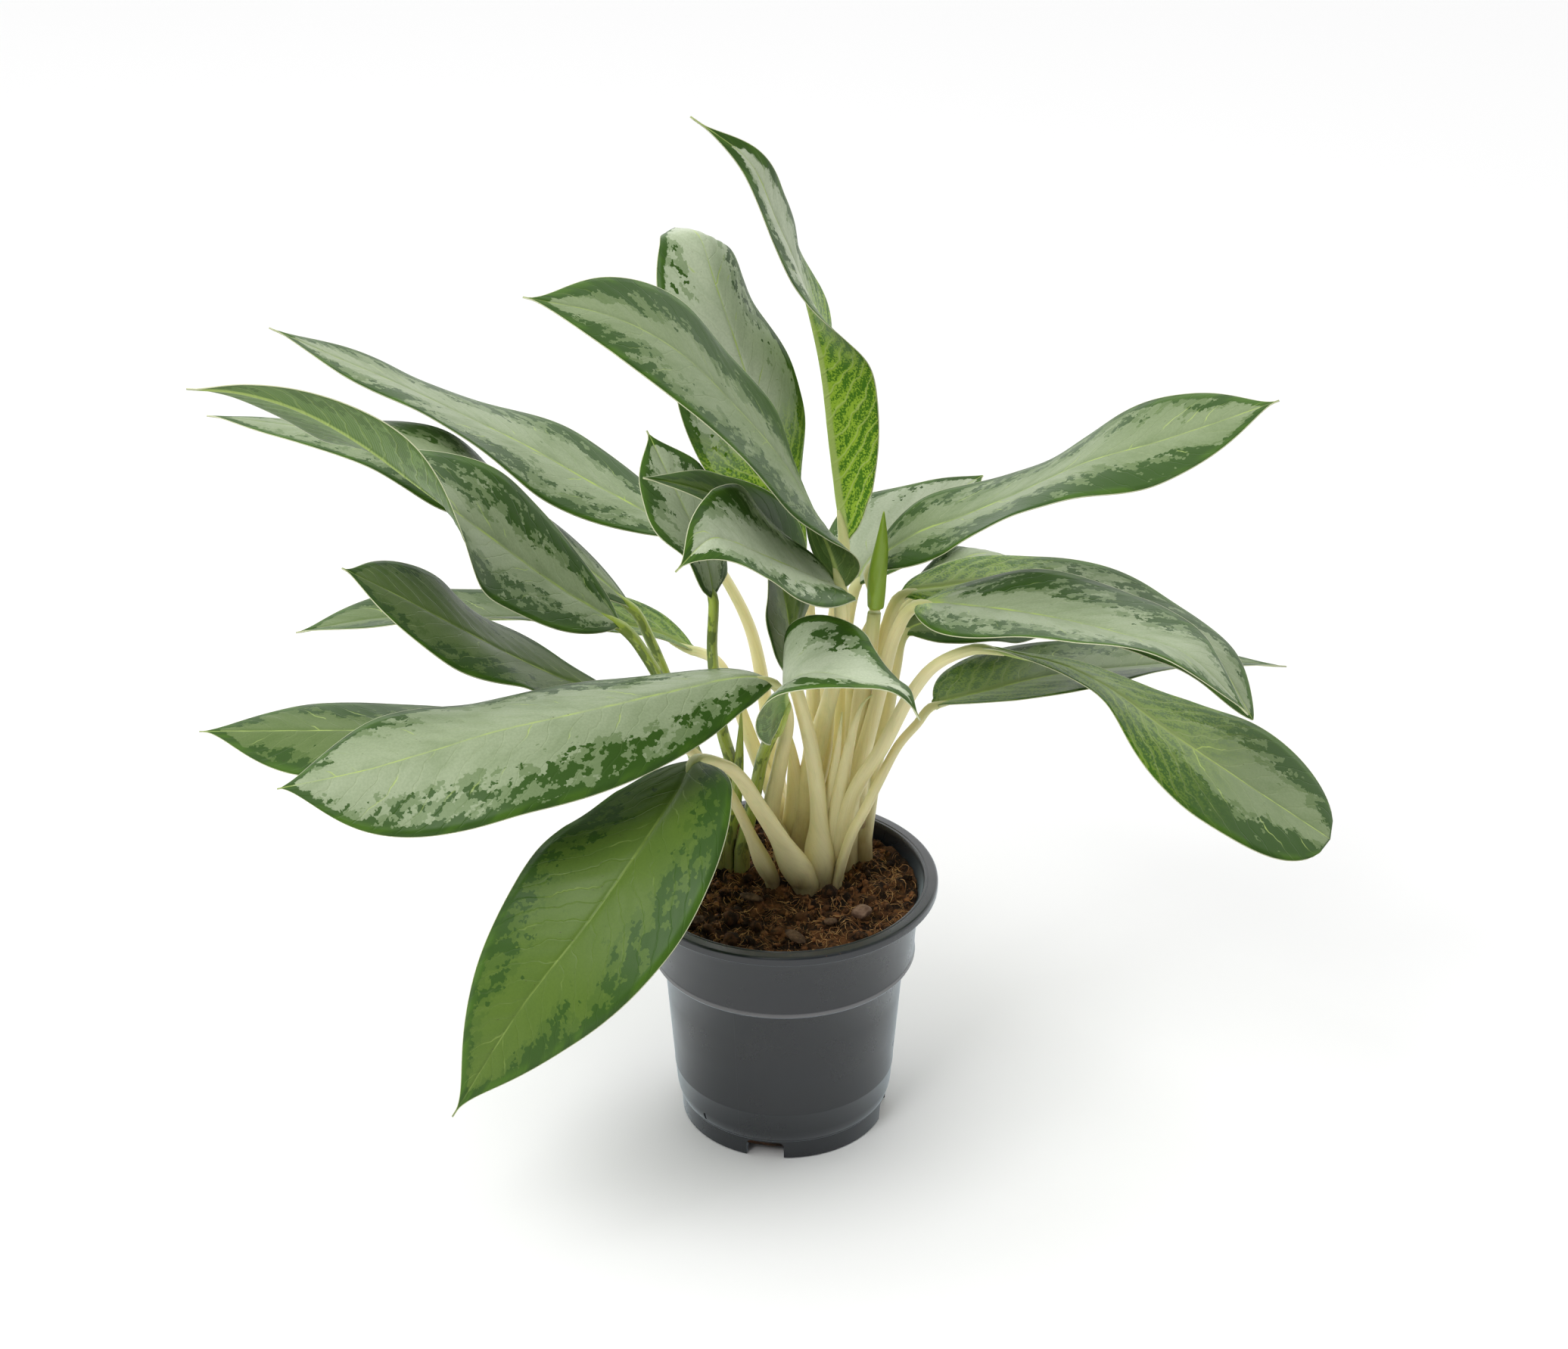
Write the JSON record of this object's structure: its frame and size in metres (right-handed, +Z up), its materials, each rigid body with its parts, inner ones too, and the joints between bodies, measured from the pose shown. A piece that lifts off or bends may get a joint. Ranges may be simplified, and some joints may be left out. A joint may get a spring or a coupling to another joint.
{
  "type": "potted chinese evergreen",
  "caption": "Potted Chinese evergreen with long drooping silver-green leaves on pale stalks, standing in a round dark plastic nursery pot.",
  "frame": {"origin": "centre of the pot's underside, on the table", "axes": "+Z up, -Y to the front of the plant, +X to its right as seen from the front"},
  "size_m": [0.6074, 0.337, 0.5695],
  "materials": {
    "pot_plastic": "moulded dark blue-grey polypropylene, satin",
    "soil": "loose coir and peat, rough",
    "bark": "broken bark, rough",
    "stone": "rough pebble",
    "stalk_cream": "smooth waxy plant stalk, ivory to pale green",
    "stalk_green": "smooth waxy plant stalk, green with pale mottling",
    "leaf_new": "smooth rolled young leaf",
    "leaf": "leathery satin leaf, silver-green centre with dark green edge"
  },
  "bodies": {
    "root": {"pot": "pot_plastic", "soil": "soil", "stone_pale": "stone", "bark_left": "bark", "bark_front": "bark", "bark_small": "bark", "bark_far_left": "bark", "shoot_front": "stalk_cream", "shoot_front_left": "stalk_cream", "shoot_left": "stalk_green", "shoot_middle": "stalk_cream", "shoot_right": "stalk_cream", "shoot_back": "stalk_cream", "blade_front_left_broad": "leaf", "blade_front_hanging": "leaf", "blade_left_twisted": "leaf", "blade_left_rear": "leaf", "blade_upper_left_long": "leaf", "blade_upper_front_broad": "leaf", "blade_upper_rear_curled": "leaf", "blade_top_twisted": "leaf", "blade_upper_right_arching": "leaf", "blade_rear_right_pale": "leaf", "blade_right_front_broad": "leaf", "blade_right_hanging": "leaf", "blade_lower_right": "leaf", "blade_right_rear_broad": "leaf", "blade_rear_right_arching": "leaf", "blade_right_under": "leaf", "blade_centre_rolled": "leaf", "blade_centre_front_folded": "leaf", "blade_centre_arching": "leaf", "blade_centre_left_upright": "leaf", "blade_lower_left": "leaf", "blade_left_flat": "leaf", "blade_far_left_low": "leaf", "rolled_leaf": "leaf_new"}
  },
  "joints": []
}
